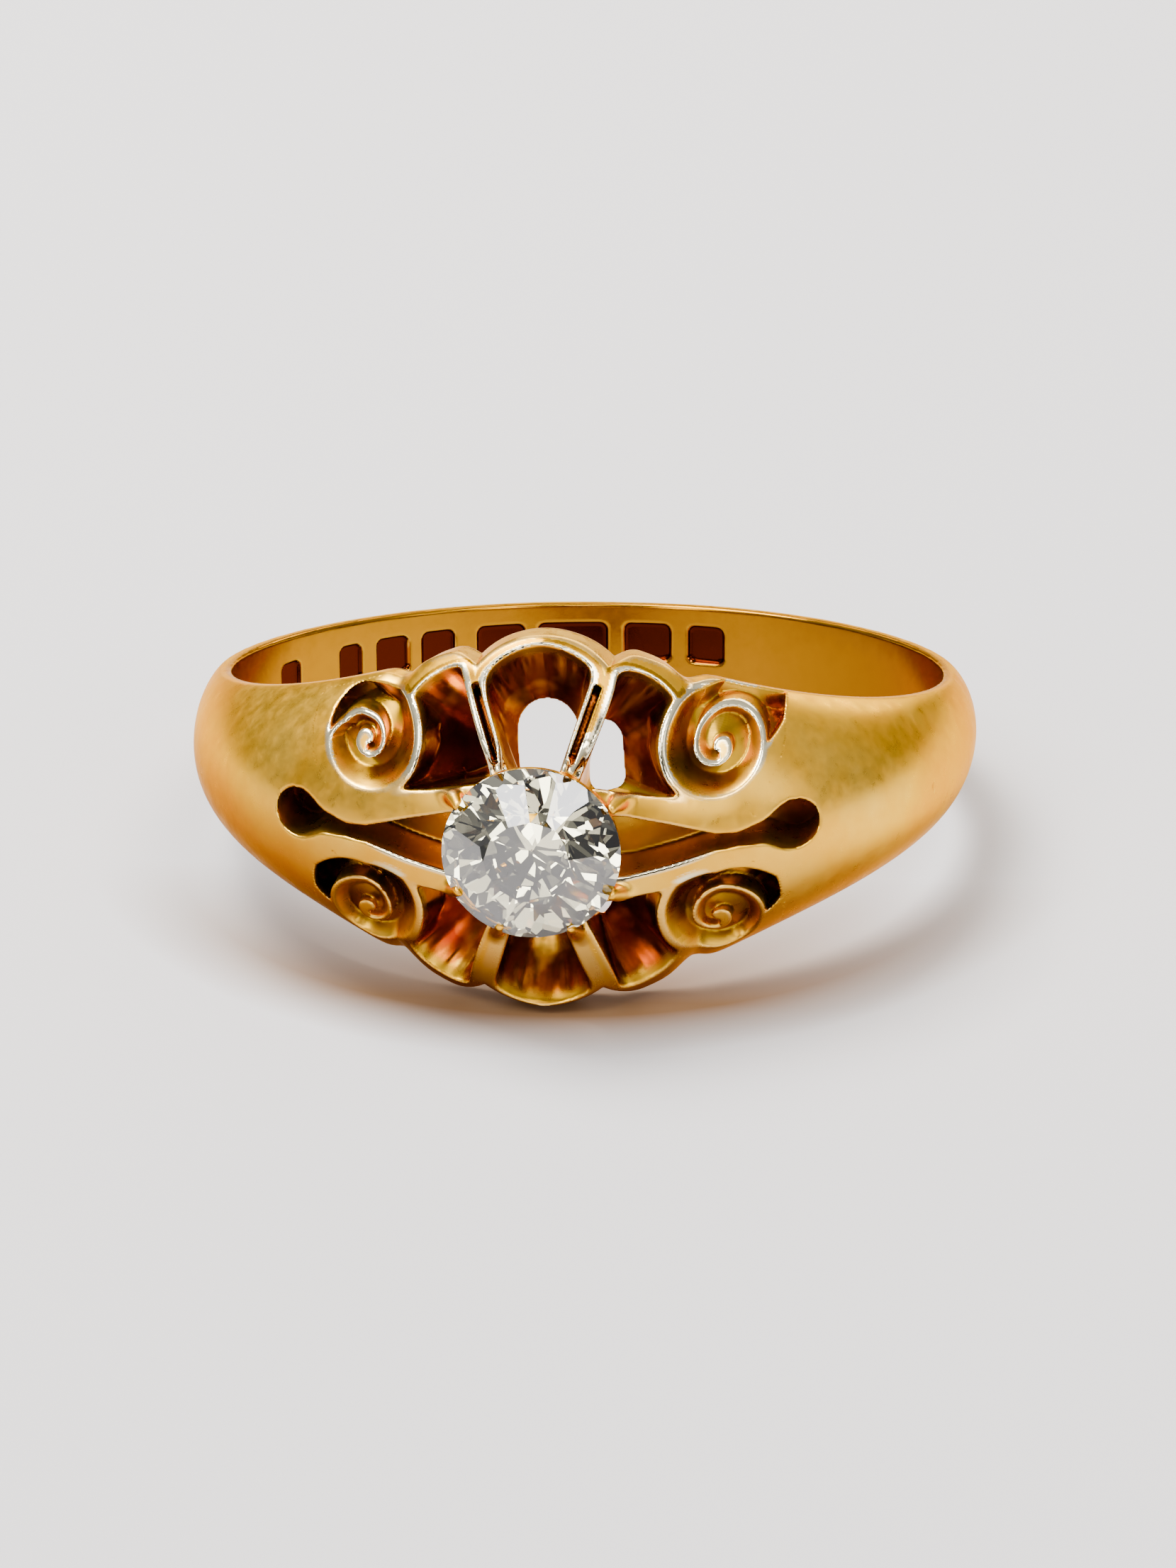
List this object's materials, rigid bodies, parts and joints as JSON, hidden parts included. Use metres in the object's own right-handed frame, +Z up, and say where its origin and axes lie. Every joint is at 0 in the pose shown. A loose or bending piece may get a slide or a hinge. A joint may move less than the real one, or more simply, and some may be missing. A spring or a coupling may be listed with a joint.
{
  "type": "solitaire ring",
  "caption": "Antique-style carved scroll-claw solitaire ring with a round old-cut stone, fluted petals, keyhole side slots and a tapering D-section hoop.",
  "frame": {"origin": "centre of the finger hole: on its axis, level with the stone's centre along that axis", "axes": "the ring lies on its side on a flat top as it rests: +Z is up from that top, -Y is the side the stone faces, +X is the wearer's side to the right when the stone faces the viewer. The finger hole's axis leans 10.3 degrees from +Z towards +Y, because the wide head props the front up."},
  "size_m": [0.0194, 0.0218, 0.0088],
  "materials": {
    "gold": "satin, worn; polished on the cut rims",
    "stone": "faceted, polished"
  },
  "bodies": {
    "root": {"shank": "gold", "shoulder_right": "gold", "shoulder_left": "gold", "petal_top": "gold", "petal_bottom": "gold", "petal_upper_right": "gold", "petal_upper_left": "gold", "petal_lower_right": "gold", "petal_lower_left": "gold", "rib_upper_right": "gold", "rib_upper_left": "gold", "rib_lower_right": "gold", "rib_lower_left": "gold", "scroll_upper_right": "gold", "scroll_upper_left": "gold", "scroll_lower_right": "gold", "scroll_lower_left": "gold", "seat_ring": "gold", "stone": "stone"}
  },
  "joints": []
}
